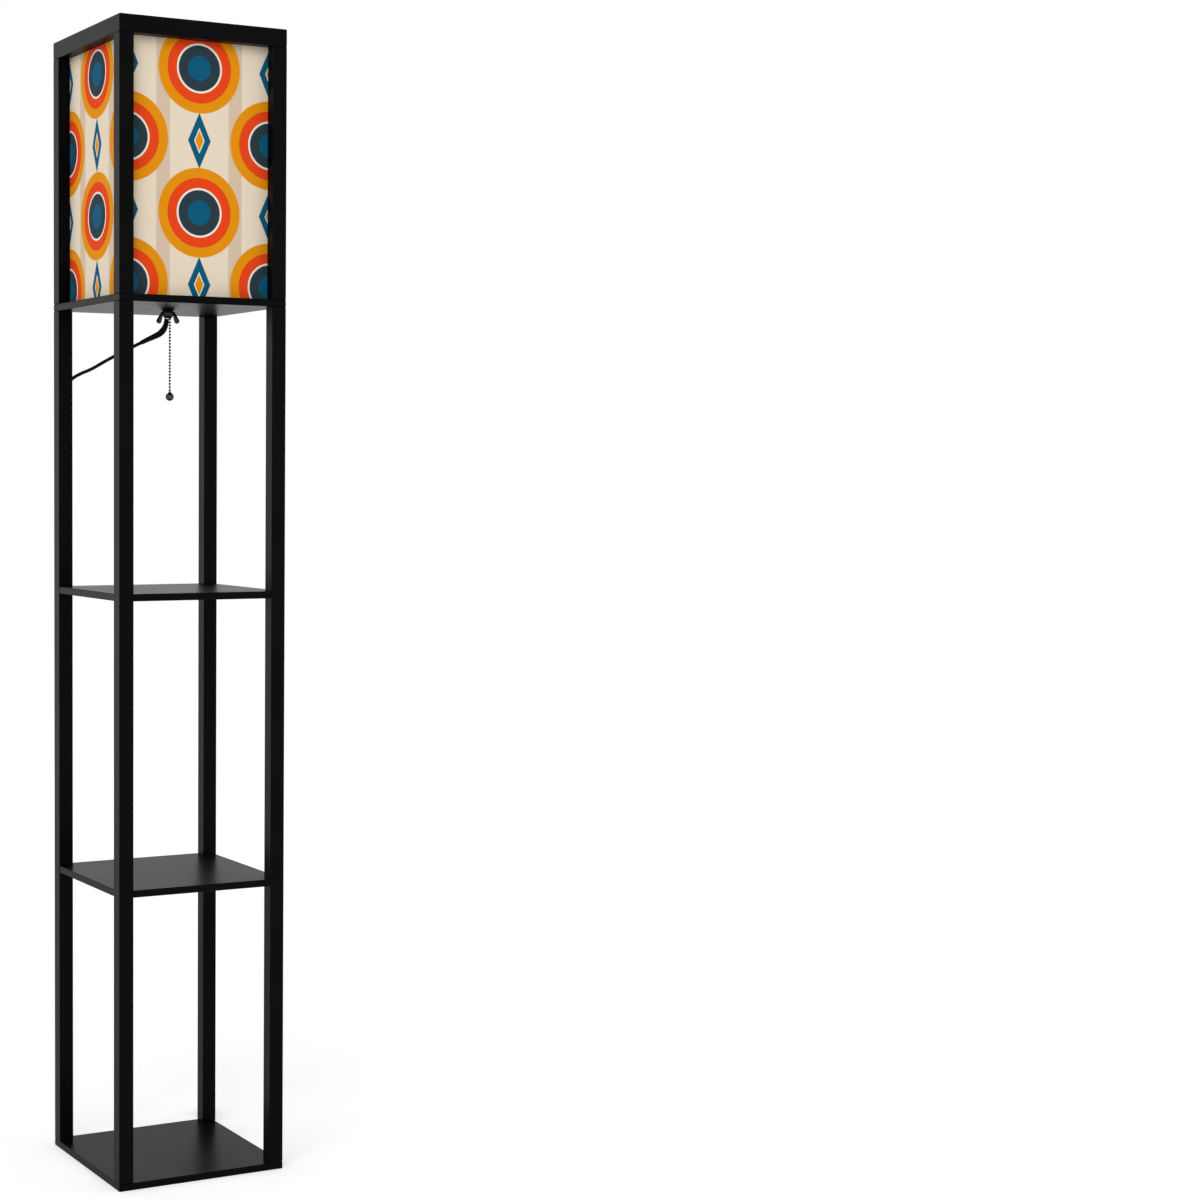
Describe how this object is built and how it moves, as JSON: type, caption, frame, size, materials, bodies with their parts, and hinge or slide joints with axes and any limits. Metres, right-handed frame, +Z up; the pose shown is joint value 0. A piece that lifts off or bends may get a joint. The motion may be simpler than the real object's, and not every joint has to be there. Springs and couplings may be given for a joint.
{
  "type": "shelf floor lamp",
  "caption": "Tall square floor lamp of black lacquered wood: open shelves below, a printed cloth panel shade on top, pull chain and mains cord under the shade.",
  "frame": {"origin": "centre of the base board's underside on the floor", "axes": "+Z up, +X to the right along the front, front faces -Y"},
  "size_m": [0.2863, 0.3344, 1.6],
  "materials": {
    "black_lacquer": "black satin lacquer",
    "shade_cloth": "printed linen laminated on a stiff sheet",
    "steel": "zinc plated",
    "brass": "plain",
    "dark_chrome": "polished dark plating",
    "chain_chrome": "polished nickel plating",
    "black_plastic": "matt moulded",
    "black_rubber": "matt moulded cord and plug",
    "bulb_glass": "frosted white"
  },
  "bodies": {
    "stand": {"base_board": "black_lacquer", "lower_shelf": "black_lacquer", "middle_shelf": "black_lacquer", "lamp_shelf": "black_lacquer", "lower_post_front_left": "black_lacquer", "lower_post_front_right": "black_lacquer", "lower_post_rear_right": "black_lacquer", "lower_post_rear_left": "black_lacquer", "upper_post_front_left": "black_lacquer", "upper_post_front_right": "black_lacquer", "upper_post_rear_right": "black_lacquer", "upper_post_rear_left": "black_lacquer", "top_rail_front": "black_lacquer", "top_rail_right": "black_lacquer", "top_rail_rear": "black_lacquer", "top_rail_left": "black_lacquer", "shade_panel_front": "shade_cloth", "shade_panel_right": "shade_cloth", "shade_panel_rear": "shade_cloth", "shade_panel_left": "shade_cloth", "post_stud_front_left": "steel", "post_stud_front_right": "steel", "post_stud_rear_right": "steel", "post_stud_rear_left": "steel", "base_screw_front_left": "steel", "base_screw_front_right": "steel", "base_screw_rear_right": "steel", "base_screw_rear_left": "steel", "top_screw_front_left": "steel", "top_screw_front_right": "steel", "top_screw_rear_right": "steel", "top_screw_rear_left": "steel", "lower_shelf_pin_front_left": "steel", "lower_shelf_pin_front_right": "steel", "lower_shelf_pin_rear_right": "steel", "lower_shelf_pin_rear_left": "steel", "middle_shelf_pin_front_left": "steel", "middle_shelf_pin_front_right": "steel", "middle_shelf_pin_rear_right": "steel", "middle_shelf_pin_rear_left": "steel", "return_spring": "steel", "screw_shell": "brass", "centre_contact": "brass", "plug_insert": "brass", "threaded_nipple": "dark_chrome", "washer": "dark_chrome", "wing_nut": "dark_chrome", "socket_housing": "black_plastic", "cord_clip_upper": "black_plastic", "cord_clip_lower": "black_plastic", "inner_lead": "black_rubber", "strain_relief": "black_rubber", "power_cord": "black_rubber", "plug_body": "black_rubber"},
    "bulb": {"bulb_cap": "steel", "bulb_glass": "bulb_glass"},
    "switch_rod": {"pull_rod": "chain_chrome"},
    "upper_chain": {"chain_upper": "chain_chrome"},
    "lower_chain": {"chain_lower": "chain_chrome", "pull_ball": "chain_chrome"}
  },
  "joints": [
    {"name": "bulb_out", "type": "slide", "parent": "stand", "child": "bulb", "axis": [0, 0, 1], "range_m": [0, 0.028]},
    {"name": "chain_pull", "type": "slide", "parent": "stand", "child": "switch_rod", "axis": [0, 0, -1], "range_m": [0, 0.008], "stiffness_N_per_m": 400, "deforming": ["return_spring"]},
    {"name": "chain_swing_side", "type": "hinge", "parent": "switch_rod", "child": "upper_chain", "pos_m": [0.00193, -0.00242, 1.204], "axis": [-0.6239, 0.7815, 0], "range_deg": [-40, 40]},
    {"name": "chain_swing_front", "type": "hinge", "parent": "upper_chain", "child": "lower_chain", "pos_m": [0.00193, -0.00242, 1.1953], "axis": [0.7815, 0.6239, 0], "range_deg": [-40, 5]}
  ]
}
